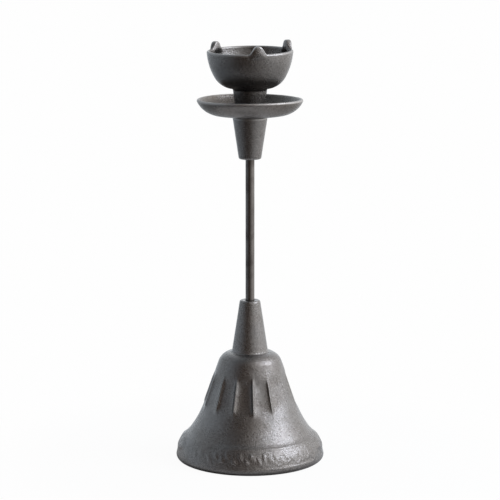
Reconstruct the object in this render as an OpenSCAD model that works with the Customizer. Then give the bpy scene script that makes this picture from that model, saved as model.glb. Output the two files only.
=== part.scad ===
// Candle holder: a fluted bell foot, a slim rod, a drip pan and a cup with three prongs.
// The origin is at the middle of the bell's mouth, +Z is up and -Y is the front.

/* [Bell] */
// Diameter across the widest part of the bell
bell_d = 106.2; // [98:0.2:116]
// Height of the bell from its mouth to its crown
bell_h = 78; // [74:1:84]
// Thickness of the bell's wall
bell_wall = 4.5; // [3.5:0.5:6]
// Radius of the rounded shoulder
shoulder_r = 10.5; // [8:0.5:13]
// Radius of the hollow sweep from the flank down to the band
flare_r = 72; // [64:1:80]
// Lean from upright where that sweep meets the band
flare_lean = 39; // [35:1:43]

/* [Band] */
// Height of the raised band round the mouth
band_h = 18.5; // [15:0.5:21]
// How far the band stands out from the flank above it
band_step = 1.6; // [1:0.1:2.4]
// How far the band's top edge lies inside its widest part
band_inset = 7; // [5.5:0.5:8.5]
// How far the band's face bows outwards
band_bow = 1; // [0.5:0.1:1.6]
// Radius of the rounded lower edge
foot_round = 4; // [2.5:0.5:5]
// Width of the flat ring that the bell stands on
rest_w = 3; // [2:0.5:5]

/* [Side plaques] */
// How far a plaque stands out from the band
plaque_raise = 0.9; // [0.5:0.1:1.4]
// Width of a plaque, seen from the side
plaque_w = 42; // [34:1:48]
// Height of a plaque
plaque_h = 14; // [9:0.5:15]
// Height of a plaque's centre above the mouth
plaque_z = 12.5; // [10:0.5:13]

/* [Flutes] */
// Number of hollow flutes round the bell
flute_count = 14; // [10:1:18]
// Direction of the first ridge between two flutes, from the front towards +X
flute_turn = 4.5; // [0:0.5:24]
// Height above which a flute has its full depth
flute_low = 43.5; // [42:0.5:46]
// Height above which it fades out
flute_high = 58; // [54:0.5:59]
// Depth of a flute at that lower height
flute_depth = 1.9; // [1:0.1:2.4]
// Depth of a flute at that upper height
flute_thin = 1.5; // [0.8:0.1:1.9]
// Radius of the hollow across a flute
flute_hollow = 19; // [15:0.5:26]
// Length over which it runs out below
flute_heel = 4.5; // [3:0.5:6]
// Length over which it runs out above
flute_toe = 8; // [6:0.5:9]

/* [Neck] */
// Diameter of the neck where it stands on the crown
neck_d = 25.4; // [22:0.2:27]
// Height of the neck above the crown
neck_h = 37.5; // [30:0.5:45]
// Radius of the fillet at the foot of the neck
neck_fillet = 1.8; // [1:0.1:2.5]
// Taper of the neck, the collar and the cup's foot, as radius lost per length
cast_taper = 0.14; // [0.1:0.01:0.16]
// Radius of the soft edge at the small end of neck and collar
small_edge = 1.5; // [0.8:0.1:2]

/* [Rod] */
// Diameter of the rod
rod_d = 6.35; // [5.5:0.05:7.5]
// Length of rod in sight between neck and collar
rod_show = 101.5; // [60:0.5:160]
// Depth that each end of the rod sits in its casting
rod_seat = 4; // [2:0.5:6]
// Diameter of the threaded studs at the rod's ends
stud_d = 5; // [4:0.1:5.2]
// Length of stud screwed into the cup
stud_grip = 11; // [8:0.5:13]
// Depth of the cup's hole past the stud's end
stud_room = 1.5; // [0.5:0.5:2]
// Length of stud that stands out below the nut
stud_tail = 2.5; // [1:0.5:4]

/* [Collar] */
// Diameter of the collar at the top, under the pan
collar_d = 24.6; // [22:0.2:27]
// Radius of the broken edge under the pan
collar_edge = 0.6; // [0.3:0.1:1]
// Height of the collar
collar_h = 29.8; // [24:0.2:36]

/* [Drip pan] */
// Diameter of the pan over its rim
pan_d = 74.4; // [68:0.2:82]
// Height of the pan from its seat to the start of its lip
pan_h = 11.2; // [10:0.2:13]
// Thickness of the pan where it is clamped
pan_floor = 3; // [2.5:0.5:4]
// Thickness of the pan's rim
pan_wall = 2.2; // [1.6:0.2:3]
// Radius of the pan's upturned side
pan_curve_r = 17; // [15:0.5:19]
// Lean of the side from upright at the rim
pan_lean = 25; // [20:1:30]

/* [Cup] */
// Diameter of the cup over its rim
cup_d = 60.6; // [56:0.2:66]
// Height of the cup's foot, from the pan up to the bowl
foot_h = 17; // [15:0.5:22]
// Diameter of the foot where it meets the bowl
foot_d = 24.4; // [22:0.2:26]
// Height of the bowl from the foot to the start of its lip
bowl_h = 25.9; // [24:0.1:30]
// Radius of the curve at the bottom of the bowl
corner_r = 15.2; // [13:0.2:16.4]
// Radius of the bowl's side
side_r = 45; // [42:1:60]
// How far the bowl's curve starts inside the foot's edge
bowl_inset = 0.7; // [0.4:0.1:1]
// Thickness of the cup's wall
cup_wall = 2.4; // [1.8:0.2:3]

/* [Prongs] */
// Height of a prong above the lip
prong_h = 5.8; // [3:0.2:9]
// Width of a prong at its foot
prong_w = 13; // [10:0.5:16]
// Thickness of a prong at its edges and its tip
prong_edge = 1.4; // [1:0.1:1.8]
// How far a prong swells out on each side of its middle
prong_swell = 0.8; // [0.3:0.1:1.2]
// Depth of a prong's root in the cup's wall
prong_root = 3; // [2:0.5:5]
// Directions of the prongs from the front towards +X, uneven as cast by hand
prong_turns = [11, 118, 237]; // [0:1:359]

/* [Fasteners] */
// Width across the flats of the nut
nut_af = 8; // [7:0.5:10]
// Height of the nut
nut_h = 4; // [3:0.5:5]
// Diameter of the washer
washer_d = 15; // [12:0.5:20]
// Thickness of the washer
washer_t = 1.2; // [0.8:0.1:2]

/* [Clearances] */
// Radial clearance of a stud in a drilled hole
hole_clear = 0.25; // [0.15:0.05:0.3]
// Radial clearance of a stud in the nut or the cup, threads left out
thread_clear = 0.05; // [0.02:0.01:0.09]
// Radial clearance of the rod in its seats
seat_clear = 0.1; // [0.05:0.05:0.2]

/* [Hidden] */
$fn = 96;

iron = "#4a4643";
pan_iron = "#5a5652";
steel = "#6c6862";
zinc = "#8d8f90";

bell_r = bell_d / 2;
neck_r = neck_d / 2;
rod_r = rod_d / 2;
stud_r = stud_d / 2;
foot_r = foot_d / 2;
cup_r = cup_d / 2;
pan_r = pan_d / 2;

// Angle at which the rounded lower edge runs into the band's face
edge_end = 12;
// Radius of the soft upper edge of the band
band_lip = 0.7;
// Turn between the cutters of two neighbouring flutes
flute_apart = 0.5;
// How far a prong's outline starts below the crest of the lip
prong_foot = 0.5;
// Steps along a rounded stretch of an outline
arc_steps = 8;
// Extra length by which a cut runs past what it cuts
over = 1;

neck_top = bell_h + neck_h;
collar_z = neck_top + rod_show;
pan_z = collar_z + collar_h;
cup_z = pan_z + pan_floor;
roof_z = bell_h - bell_wall;

shoulder_c = [neck_r, bell_h - shoulder_r];
band_top_r = bell_r - band_inset;
flare_end = [band_top_r - band_step, band_h];
flare_c = flare_end + flare_r * [cos(flare_lean), sin(flare_lean)];
centre_gap = flare_c - shoulder_c;
// The flank is the straight line that touches the shoulder and the flare
flank_lean = atan2(centre_gap.y, centre_gap.x) + acos((shoulder_r + flare_r) / norm(centre_gap));
mouth_r = bell_r - foot_round - rest_w;

// Points on a circle from one angle to another
function arc(c, r, from, to, steps = arc_steps) =
    [for (i = [0:steps]) let (a = from + (to - from) * i / steps) c + r * [cos(a), sin(a)]];

// Points on a shallow bow from p to q, bulging to the right of that direction
function bow(p, q, rise, steps = arc_steps) =
    let (mid = (p + q) / 2, half = norm(q - p) / 2, dir = (q - p) / norm(q - p))
    let (r = (half * half + rise * rise) / (2 * rise), out = [dir.y, -dir.x])
    let (c = mid - (r - rise) * out, spread = asin(half / r), turn = atan2(out.y, out.x))
    arc(c, r, turn - spread, turn + spread, steps);

// The bell's skin from the crown down to the band, moved inwards by a depth
function skin(depth, crown_angle = 90) = concat(
    arc(shoulder_c, shoulder_r - depth, crown_angle, flank_lean),
    arc(flare_c, flare_r + depth, 180 + flank_lean, 180 + flare_lean));

// Outer radius of the skin at a height below the shoulder
function skin_r(z) = let (low_end = flare_c - flare_r * [cos(flank_lean), sin(flank_lean)])
    z < low_end.y ? flare_c.x - sqrt(flare_r * flare_r - pow(z - flare_c.y, 2))
                  : low_end.x - (z - low_end.y) * tan(flank_lean);

function reversed(list) = [for (i = [len(list) - 1:-1:0]) list[i]];

band_edge = arc([bell_r - foot_round, foot_round], foot_round, -90, edge_end);
band_top = arc([band_top_r - band_lip, band_h - band_lip], band_lip, 40, 90, 3);
band_face = bow(band_edge[len(band_edge) - 1], band_top[0], band_bow);

// Outline of the solid bell and neck from the mouth to the top of the neck
module bell_outline() {
    fillet_x = neck_r + neck_fillet;
    crown_angle = acos((fillet_x - shoulder_c.x) / shoulder_r);
    fillet_z = shoulder_c.y + shoulder_r * sin(crown_angle) + neck_fillet;
    top_r = neck_r - neck_h * cast_taper;
    polygon(concat(
        [[0, 0]], band_edge, band_face, band_top,
        reversed(skin(0, crown_angle)),
        arc([fillet_x, fillet_z], neck_fillet, 270, 180, 5),
        arc([top_r - small_edge, neck_top - small_edge], small_edge, 0, 90, 5),
        [[0, neck_top]]));
}

// Outline of the hollow inside the bell
module hollow_outline() {
    polygon(concat([[0, -over], [mouth_r, -over], [mouth_r, 0]],
        reversed(skin(bell_wall)), [[0, roof_z]]));
}

// Cutter for one flute: a roller that lies along the flank, tapers at both ends and keeps its pitch
module flute() {
    low = [skin_r(flute_low) - flute_depth, flute_low];
    run = [skin_r(flute_high) - flute_thin, flute_high] - low;
    heel_r = flute_hollow - flute_depth - over;
    toe_r = flute_hollow - flute_thin - over;
    heel_end = -flute_heel * (flute_depth + over) / flute_depth;
    toe_end = norm(run) + flute_toe * (flute_thin + over) / flute_thin;
    reach = bell_r + flute_hollow;
    half_w = reach * tan(180 / flute_count - flute_apart / 2);
    intersection() {
        translate([low.x, 0, low.y])
            rotate([0, atan2(run.x, run.y), 0])
                translate([flute_hollow, 0, 0])
                    rotate_extrude()
                        polygon([[0, heel_end], [heel_r, heel_end], [flute_hollow, 0],
                            [flute_hollow, norm(run)], [toe_r, toe_end], [0, toe_end]]);
        linear_extrude(height = neck_top)
            polygon([[0, 0], [reach, -half_w], [reach, half_w]]);
    }
}

// Pointed leaf outline of a side plaque
function leaf(w, h, steps = 10) = concat(
    [for (i = [0:steps]) let (t = -1 + 2 * i / steps) [t * w / 2, h / 2 * pow(cos(90 * t), 0.6)]],
    [for (i = [1:steps - 1]) let (t = 1 - 2 * i / steps) [t * w / 2, -h / 2 * pow(cos(90 * t), 0.6)]]);

// One raised plaque on the +X side of the band
module plaque() {
    intersection() {
        translate([0, 0, plaque_z])
            rotate([90, 0, 90])
                linear_extrude(height = bell_r + 2 * plaque_raise)
                    polygon(leaf(plaque_w, plaque_h));
        rotate_extrude()
            polygon(concat([[bell_r - band_inset - bell_wall, 0]],
                [for (p = concat(band_edge, band_face, band_top)) p + plaque_raise * [1, 1]],
                [[bell_r - band_inset - bell_wall, band_h + plaque_raise]]));
    }
}

module bell_base() {
    color(iron)
        difference() {
            union() {
                rotate_extrude() bell_outline();
                for (side = [0, 180])
                    rotate([0, 0, side]) plaque();
            }
            rotate_extrude() hollow_outline();
            translate([0, 0, roof_z - over])
                cylinder(h = neck_top - roof_z, r = stud_r + hole_clear);
            translate([0, 0, neck_top - rod_seat])
                cylinder(h = rod_seat + over, r = rod_r + seat_clear);
            for (i = [0:flute_count - 1])
                rotate([0, 0, flute_turn - 90 + (i + 0.5) * 360 / flute_count]) flute();
        }
}

module base_washer() {
    color(zinc)
        translate([0, 0, roof_z - washer_t])
            difference() {
                cylinder(h = washer_t, d = washer_d);
                translate([0, 0, -over])
                    cylinder(h = washer_t + 2 * over, r = stud_r + hole_clear);
            }
}

module base_nut() {
    color(zinc)
        translate([0, 0, roof_z - washer_t - nut_h])
            difference() {
                cylinder(h = nut_h, d = nut_af / cos(30), $fn = 6);
                translate([0, 0, -over])
                    cylinder(h = nut_h + 2 * over, r = stud_r + thread_clear);
            }
}

// Rod with a thinner stud at each end, which clamps the castings
module stem_rod() {
    rod_low = neck_top - rod_seat;
    rod_high = collar_z + rod_seat;
    stud_low = roof_z - washer_t - nut_h - stud_tail;
    stud_high = cup_z + stud_grip;
    color(steel) {
        translate([0, 0, rod_low])
            cylinder(h = rod_high - rod_low, r = rod_r);
        translate([0, 0, stud_low])
            cylinder(h = stud_high - stud_low, r = stud_r);
    }
}

// Tapered collar between rod and pan, its small end down
module stem_collar() {
    low_r = collar_d / 2 - collar_h * cast_taper;
    color(iron)
        translate([0, 0, collar_z])
            difference() {
                rotate_extrude()
                    polygon(concat([[0, 0]],
                        arc([low_r - small_edge, small_edge], small_edge, -90, 0, 5),
                        arc([collar_d / 2 - collar_edge, collar_h - collar_edge],
                            collar_edge, 0, 90, 3),
                        [[0, collar_h]]));
                translate([0, 0, -over])
                    cylinder(h = collar_h + 2 * over, r = stud_r + hole_clear);
                translate([0, 0, -over])
                    cylinder(h = rod_seat + over, r = rod_r + seat_clear);
            }
}

// One face of the pan from its seat out to the rim, moved inwards by a depth
function pan_face(c, seat, depth) =
    let (gap = c - seat, r = pan_curve_r - depth)
    let (slope = atan2(gap.y, gap.x) - asin(r / norm(gap)))
    concat([seat], arc(c, r, slope - 90, -pan_lean));

module drip_pan() {
    c = [pan_r, pan_h] - pan_curve_r * [cos(pan_lean), -sin(pan_lean)];
    lip_c = c + (pan_curve_r - pan_wall / 2) * [cos(pan_lean), -sin(pan_lean)];
    seat_r = collar_d / 2;
    color(pan_iron)
        translate([0, 0, pan_z])
            difference() {
                rotate_extrude()
                    polygon(concat([[0, 0]],
                        pan_face(c, [seat_r, 0], 0),
                        arc(lip_c, pan_wall / 2, -pan_lean, 180 - pan_lean, 6),
                        reversed(pan_face(c, [seat_r, pan_floor], pan_wall)),
                        [[0, pan_floor]]));
                translate([0, 0, -over])
                    cylinder(h = pan_floor + 2 * over, r = stud_r + hole_clear);
            }
}

// Centres of the two arcs of the bowl: its corner and its side, which touch each other
bowl_corner = [foot_r - bowl_inset, foot_h + corner_r];
rim = [cup_r, foot_h + bowl_h];
to_rim = rim - bowl_corner;
rim_gap = norm(to_rim);
inner_gap = side_r - corner_r;
apex_angle = acos((pow(rim_gap, 2) + pow(inner_gap, 2) - pow(side_r, 2)) / (2 * rim_gap * inner_gap));
side_turn = atan2(to_rim.y, to_rim.x) + apex_angle;
bowl_side = bowl_corner + inner_gap * [cos(side_turn), sin(side_turn)];
join_angle = side_turn - 180;
rim_angle = atan2(rim.y - bowl_side.y, rim.x - bowl_side.x);
// At the rim: the way out through the wall, the way up along it, and the centre of the lip
rim_out = [cos(rim_angle), sin(rim_angle)];
rim_up = [-rim_out.y, rim_out.x];
lip_c = bowl_side + (side_r - cup_wall / 2) * rim_out;

// One face of the bowl up to the rim, moved inwards by a depth
function bowl_face(depth, from) = concat(
    arc(bowl_corner, corner_r - depth, from, join_angle),
    arc(bowl_side, side_r - depth, join_angle, rim_angle));

module cup_outline() {
    foot_meet = -acos(bowl_inset / corner_r);
    polygon(concat([[0, 0], [foot_r - foot_h * cast_taper, 0]],
        bowl_face(0, foot_meet),
        arc(lip_c, cup_wall / 2, rim_angle, rim_angle + 180, 6),
        reversed(bowl_face(cup_wall, -90)),
        [[0, foot_h + cup_wall]]));
}

// Section of a prong: rooted in the wall, swelling on both sides and thin at its tip
module prong_section() {
    tip = lip_c + (prong_h + cup_wall / 2) * rim_up;
    root = lip_c - prong_root * rim_up;
    edge = prong_edge / 2 * rim_out;
    rise = (cup_wall - prong_edge) / 2 + prong_swell;
    polygon(concat(bow(root + edge, tip + edge, rise), bow(tip - edge, root - edge, rise)));
}

// Plan of a prong round the rim: thick in the middle and thin at both edges
module prong_plan() {
    half = prong_w / 2;
    thick = cup_wall / 2 + prong_swell + over;
    edge_x = sqrt(pow(lip_c.x, 2) - half * half);
    outer = edge_x + prong_edge / 2;
    inner = edge_x - prong_edge / 2;
    polygon(concat(
        bow([outer, -half], [outer, half], lip_c.x + thick - outer),
        bow([inner, half], [inner, -half], inner - lip_c.x + thick)));
}

// Outline of a prong seen from outside: one rounded lobe above the lip
module prong_outline() {
    foot = rim.y - prong_root;
    crest = lip_c.y + cup_wall / 2 - prong_foot;
    steps = 16;
    polygon(concat([[-prong_w / 2, foot]],
        [for (i = [0:steps]) let (t = -1 + 2 * i / steps)
            [t * prong_w / 2, crest + (prong_h + prong_foot) * pow(1 - t * t, 1.3)]],
        [[prong_w / 2, foot]]));
}

module prong() {
    intersection() {
        rotate_extrude() prong_section();
        rotate([90, 0, 90])
            linear_extrude(height = cup_d) prong_outline();
        linear_extrude(height = rim.y + prong_h + cup_wall) prong_plan();
    }
}

module candle_cup() {
    color(iron)
        translate([0, 0, cup_z])
            difference() {
                union() {
                    rotate_extrude() cup_outline();
                    for (turn = prong_turns)
                        rotate([0, 0, turn - 90]) prong();
                }
                translate([0, 0, -over])
                    cylinder(h = stud_grip + stud_room + over, r = stud_r + thread_clear);
            }
}

bell_base();
base_washer();
base_nut();
stem_rod();
stem_collar();
drip_pan();
candle_cup();
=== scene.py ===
"""Cast-iron candle holder: a fluted bell foot, a slim rod, a drip pan and a cup with three prongs.

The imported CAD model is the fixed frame. Every casting is modelled here over its CAD solid, with
the scooped flutes, the worn scroll band and the uneven skin that a sand mould leaves.
Sizes are in millimetres, directions in degrees from the front, positive towards +X.
"""

import logging
import math
from collections.abc import Callable
from dataclasses import dataclass, field
from enum import Enum

import bmesh
import bpy
from mathutils import Matrix, Vector, noise


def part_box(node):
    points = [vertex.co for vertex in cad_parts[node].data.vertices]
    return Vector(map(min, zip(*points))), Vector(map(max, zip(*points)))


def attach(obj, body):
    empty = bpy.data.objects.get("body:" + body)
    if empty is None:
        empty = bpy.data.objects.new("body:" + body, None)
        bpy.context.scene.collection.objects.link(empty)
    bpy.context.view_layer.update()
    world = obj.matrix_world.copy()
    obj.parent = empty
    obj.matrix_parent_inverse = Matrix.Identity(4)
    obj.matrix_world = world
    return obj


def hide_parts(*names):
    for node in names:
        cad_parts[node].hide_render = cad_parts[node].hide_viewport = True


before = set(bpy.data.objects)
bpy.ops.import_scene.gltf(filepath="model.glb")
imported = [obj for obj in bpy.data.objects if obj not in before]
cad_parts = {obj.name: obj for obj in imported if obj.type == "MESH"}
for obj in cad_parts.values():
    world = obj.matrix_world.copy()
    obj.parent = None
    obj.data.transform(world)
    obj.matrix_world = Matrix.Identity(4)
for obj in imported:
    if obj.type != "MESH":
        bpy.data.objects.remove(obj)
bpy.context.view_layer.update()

LOG = logging.getLogger("candle_holder")
MM = 0.001
# Attribute with the rubbed edges, the blacking in hollows and the painted shade.
WEAR_AND_SHADE = "wear_and_shade"

Height = Callable[[Vector, Vector], float]


class Slot(Enum):
    """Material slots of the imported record."""

    IRON = "cast_iron_base"
    PAN_IRON = "cast_iron_pan"
    STEEL = "steel_rod"
    ZINC = "zinc_fastener"


def linear(colour: str, strength: float = 1.0) -> tuple[float, float, float, float]:
    """Turns an sRGB hex colour to the linear values that shaders take.

    Args:
        colour: hex colour such as "#7a746f".
        strength: factor on the linear values.

    Returns:
        Red, green, blue and an alpha of 1.
    """
    parts = [int(colour[i : i + 2], 16) / 255 for i in (1, 3, 5)]
    made = [c / 12.92 if c <= 0.04045 else ((c + 0.055) / 1.055) ** 2.4 for c in parts]
    return (made[0] * strength, made[1] * strength, made[2] * strength, 1.0)


def add_node(
    tree: bpy.types.NodeTree, kind: str, inputs: dict | None = None, **settings: object
) -> bpy.types.Node:
    """Adds a node to a tree, with its settings, values and links.

    Args:
        tree: tree that gets the node.
        kind: type name of the node.
        inputs: for each input's name or index, a value or the output linked to it.
        settings: properties of the node itself.

    Returns:
        The new node.
    """
    node = tree.nodes.new(kind)
    for key, value in settings.items():
        setattr(node, key, value)
    for key, value in (inputs or {}).items():
        if isinstance(value, bpy.types.NodeSocket):
            tree.links.new(value, node.inputs[key])
        else:
            node.inputs[key].default_value = value
    return node


def set_stops(ramp: bpy.types.Node, stops: list[tuple[float, tuple]]) -> None:
    """Gives a colour ramp its stops.

    Args:
        ramp: the ramp node.
        stops: position and linear colour of each stop, in order.
    """
    elements = ramp.color_ramp.elements
    while len(elements) < len(stops):
        elements.new(1.0)
    for element, (place, colour) in zip(elements, stops):
        element.position = place
        element.color = colour


def per_mm(size: float) -> float:
    """Texture scale at which one feature is that many millimetres wide."""
    return 1 / (size * MM)


def new_material(name: str) -> tuple[bpy.types.Material, bpy.types.NodeTree]:
    """Makes an empty node material and returns it with its tree."""
    material = bpy.data.materials.new(name)
    material.use_nodes = True
    material.node_tree.nodes.clear()
    return material, material.node_tree


@dataclass(frozen=True)
class CastIron:
    """Grey iron from a sand mould, blackened and waxed.

    The sand leaves a fine grain that glints, the wax a soft dull shine, and handling rubs the
    edges to bare grey metal while the hollows keep the dark brown blacking. The same dark
    colour also carries painted shade, which the bell adds beside its ridges and the pan in its dish.
    """

    name: str
    skin: str = "#767473"
    brown: str = "#6b6662"
    hollow: str = "#2a2725"
    rubbed: str = "#b0aeac"
    gloss: float = 0.25
    grain: float = 0.8
    grain_depth: float = 0.24
    peel: float = 2.0
    peel_depth: float = 0.11
    patch: float = 22.0

    def material(self) -> bpy.types.Material:
        """Builds the node material. The grain of the sand is about 0.3 mm, drawn coarser here."""
        material, tree = new_material(self.name)
        place = add_node(tree, "ShaderNodeTexCoord").outputs["Object"]
        wear_and_shade = add_node(tree, "ShaderNodeAttribute", attribute_name=WEAR_AND_SHADE).outputs["Fac"]
        patch, peel, grain = (
            add_node(
                tree,
                "ShaderNodeTexNoise",
                {"Vector": place, "Scale": per_mm(size), "Detail": detail, "Roughness": 0.6},
            ).outputs["Fac"]
            for size, detail in ((self.patch, 4.0), (self.peel, 2.0), (self.grain, 3.0))
        )
        browned = add_node(
            tree, "ShaderNodeMapRange",
            {"Value": patch, "From Min": 0.4, "From Max": 0.68, "To Min": 0.0, "To Max": 0.6},
        ).outputs["Result"]
        skin = add_node(
            tree, "ShaderNodeMix",
            {"Factor": browned, 6: linear(self.skin), 7: linear(self.brown)},
            data_type="RGBA",
        ).outputs[2]
        speck = add_node(
            tree, "ShaderNodeMapRange",
            {"Value": grain, "From Min": 0.3, "From Max": 0.55, "To Min": 0.7, "To Max": 0.0},
        ).outputs["Result"]
        specked = add_node(
            tree, "ShaderNodeMix", {"Factor": speck, 6: skin, 7: linear(self.hollow)}, data_type="RGBA"
        ).outputs[2]
        # Hollows and painted shade, the low values of the attribute, take the dark colour.
        sunk_and_shaded = add_node(
            tree, "ShaderNodeMapRange",
            {"Value": wear_and_shade, "From Min": 0.15, "From Max": 0.47, "To Min": 0.85, "To Max": 0.0},
        ).outputs["Result"]
        darkened = add_node(
            tree, "ShaderNodeMix", {"Factor": sunk_and_shaded, 6: specked, 7: linear(self.hollow)}, data_type="RGBA"
        ).outputs[2]
        raised = add_node(
            tree, "ShaderNodeMapRange",
            {"Value": wear_and_shade, "From Min": 0.6, "From Max": 1.3, "To Min": 0.0, "To Max": 0.75},
        ).outputs["Result"]
        colour = add_node(
            tree, "ShaderNodeMix",
            {"Factor": raised, 6: darkened, 7: linear(self.rubbed)},
            data_type="RGBA",
        ).outputs[2]
        rough = add_node(
            tree, "ShaderNodeMapRange",
            {"Value": patch, "From Min": 0.3, "From Max": 0.7,
             "To Min": self.gloss - 0.02, "To Max": self.gloss + 0.05},
        ).outputs["Result"]
        dulled = add_node(
            tree, "ShaderNodeMath", {0: raised, 1: 0.35, 2: rough}, operation="MULTIPLY_ADD"
        ).outputs[0]
        coarse = add_node(
            tree, "ShaderNodeBump",
            {"Height": peel, "Distance": self.peel_depth * MM, "Strength": 1.0},
        ).outputs["Normal"]
        fine = add_node(
            tree, "ShaderNodeBump",
            {"Height": grain, "Distance": self.grain_depth * MM, "Strength": 1.0, "Normal": coarse},
        ).outputs["Normal"]
        surface = add_node(
            tree, "ShaderNodeBsdfPrincipled",
            {"Base Color": colour, "Metallic": 0.9, "Roughness": dulled, "Normal": fine},
        )
        add_node(tree, "ShaderNodeOutputMaterial", {"Surface": surface.outputs[0]})
        return material


@dataclass(frozen=True)
class DrawnSteel:
    """Cold-drawn steel rod, browned: smooth, with faint draw lines along it."""

    name: str
    colour: str = "#65615e"
    stain: str = "#4b4643"
    gloss: float = 0.3
    line: float = 0.5
    stretch: float = 30.0

    def material(self) -> bpy.types.Material:
        """Builds the node material. Real draw lines are finer, and are drawn wide enough to show."""
        material, tree = new_material(self.name)
        place = add_node(tree, "ShaderNodeTexCoord").outputs["Object"]
        drawn = add_node(
            tree, "ShaderNodeMapping", {"Vector": place, "Scale": (1.0, 1.0, 1 / self.stretch)}
        ).outputs[0]
        lines = add_node(
            tree, "ShaderNodeTexNoise", {"Vector": drawn, "Scale": per_mm(self.line), "Detail": 2.0}
        ).outputs["Fac"]
        stains = add_node(
            tree, "ShaderNodeTexNoise", {"Vector": place, "Scale": per_mm(9.0), "Detail": 4.0}
        ).outputs["Fac"]
        amount = add_node(
            tree, "ShaderNodeMapRange", {"Value": stains, "From Min": 0.45, "From Max": 0.7}
        ).outputs["Result"]
        colour = add_node(
            tree, "ShaderNodeMix",
            {"Factor": amount, 6: linear(self.colour), 7: linear(self.stain)},
            data_type="RGBA",
        ).outputs[2]
        rough = add_node(
            tree, "ShaderNodeMapRange",
            {"Value": stains, "From Min": 0.3, "From Max": 0.7,
             "To Min": self.gloss - 0.05, "To Max": self.gloss + 0.12},
        ).outputs["Result"]
        normal = add_node(
            tree, "ShaderNodeBump", {"Height": lines, "Distance": 0.02 * MM, "Strength": 1.0}
        ).outputs["Normal"]
        surface = add_node(
            tree, "ShaderNodeBsdfPrincipled",
            {"Base Color": colour, "Metallic": 0.95, "Roughness": rough, "Normal": normal},
        )
        add_node(tree, "ShaderNodeOutputMaterial", {"Surface": surface.outputs[0]})
        return material


@dataclass(frozen=True)
class DullZinc:
    """Zinc-plated steel, passivated and aged: pale grey with cloudy spots."""

    name: str
    colour: str = "#9b9d9d"
    cloud: str = "#7a7a76"
    gloss: float = 0.42

    def material(self) -> bpy.types.Material:
        """Builds the node material."""
        material, tree = new_material(self.name)
        place = add_node(tree, "ShaderNodeTexCoord").outputs["Object"]
        clouds = add_node(
            tree, "ShaderNodeTexNoise", {"Vector": place, "Scale": per_mm(2.5), "Detail": 4.0}
        ).outputs["Fac"]
        amount = add_node(
            tree, "ShaderNodeMapRange", {"Value": clouds, "From Min": 0.4, "From Max": 0.68}
        ).outputs["Result"]
        colour = add_node(
            tree, "ShaderNodeMix",
            {"Factor": amount, 6: linear(self.colour), 7: linear(self.cloud)},
            data_type="RGBA",
        ).outputs[2]
        rough = add_node(
            tree, "ShaderNodeMapRange",
            {"Value": clouds, "From Min": 0.3, "From Max": 0.7,
             "To Min": self.gloss - 0.08, "To Max": self.gloss + 0.12},
        ).outputs["Result"]
        normal = add_node(
            tree, "ShaderNodeBump", {"Height": clouds, "Distance": 0.03 * MM, "Strength": 1.0}
        ).outputs["Normal"]
        surface = add_node(
            tree, "ShaderNodeBsdfPrincipled",
            {"Base Color": colour, "Metallic": 1.0, "Roughness": rough, "Normal": normal},
        )
        add_node(tree, "ShaderNodeOutputMaterial", {"Surface": surface.outputs[0]})
        return material


def azimuth(point: Vector) -> float:
    """Direction of a point round the axis."""
    return math.degrees(math.atan2(point.x, -point.y))


def off(angle: float, middle: float) -> float:
    """Turn from one direction to another, between -180 and 180."""
    return (angle - middle + 180) % 360 - 180


def ridge(distance: float, width: float) -> float:
    """Soft raised line: 1 on the line, falling off within its width."""
    return math.exp(-((distance / width) ** 2))


def ease(value: float) -> float:
    """Smooth step from 0 to 1."""
    t = min(max(value, 0.0), 1.0)
    return t * t * (3 - 2 * t)


def unevenness(point: Vector, seed: float) -> float:
    """Slight waviness of a casting, in millimetres.

    Args:
        point: place in millimetres.
        seed: shift that gives each casting its own pattern.

    Returns:
        How far the skin stands out there.
    """
    moved = point + Vector((seed, seed, seed))
    broad = noise.noise(moved / 17)
    small = noise.noise(moved / 4.2)
    return 0.1 * broad + 0.045 * small


class Outline:
    """Half section of a round piece, drawn stroke by stroke and then spun round the axis."""

    def __init__(self, r: float, z: float) -> None:
        """Starts the outline at a radius and a height."""
        self.mesh = bmesh.new()
        self.tip = self.mesh.verts.new((r * MM, 0.0, z * MM))

    @property
    def at(self) -> Vector:
        """Radius and height of the tip."""
        return Vector((self.tip.co.x, self.tip.co.z)) / MM

    def line(self, r: float, z: float, rows: int = 1) -> "Outline":
        """Draws a straight stroke.

        Args:
            r: radius at its end.
            z: height at its end.
            rows: number of rows of faces that it becomes.

        Returns:
            The outline itself.
        """
        start, end = self.tip.co.copy(), Vector((r, 0.0, z)) * MM
        for row in range(1, rows + 1):
            made = bmesh.ops.extrude_vert_indiv(self.mesh, verts=[self.tip])
            self.tip = made["verts"][0]
            self.tip.co = start.lerp(end, row / rows)
        return self

    def arc(self, centre: Vector, turn: float, rows: int) -> "Outline":
        """Swings the tip about a centre.

        Args:
            centre: radius and height of the arc's centre.
            turn: angle, positive against the clock with the axis at the left.
            rows: number of rows of faces that it becomes.

        Returns:
            The outline itself.
        """
        made = bmesh.ops.spin(
            self.mesh, geom=[self.tip], cent=(centre.x * MM, 0.0, centre.y * MM),
            axis=(0, -1, 0), angle=math.radians(turn), steps=rows,
        )
        self.tip = next(v for v in made["geom_last"] if isinstance(v, bmesh.types.BMVert))
        return self

    def spin(self, steps: int, start: float = 0.0) -> bmesh.types.BMesh:
        """Spins the outline into a closed shell.

        Args:
            steps: number of faces round the axis.
            start: direction of the first column of points.

        Returns:
            The mesh, its seams and poles merged and its normals outwards.
        """
        mesh = self.mesh
        turn = Matrix.Rotation(math.radians(start - 90), 3, "Z")
        bmesh.ops.rotate(mesh, cent=(0, 0, 0), matrix=turn, verts=mesh.verts)
        bmesh.ops.spin(
            mesh, geom=mesh.verts[:] + mesh.edges[:], cent=(0, 0, 0), axis=(0, 0, 1),
            angle=math.tau, steps=steps, use_merge=True,
        )
        bmesh.ops.remove_doubles(mesh, verts=mesh.verts, dist=0.002 * MM)
        bmesh.ops.recalc_face_normals(mesh, faces=mesh.faces)
        return mesh


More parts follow.
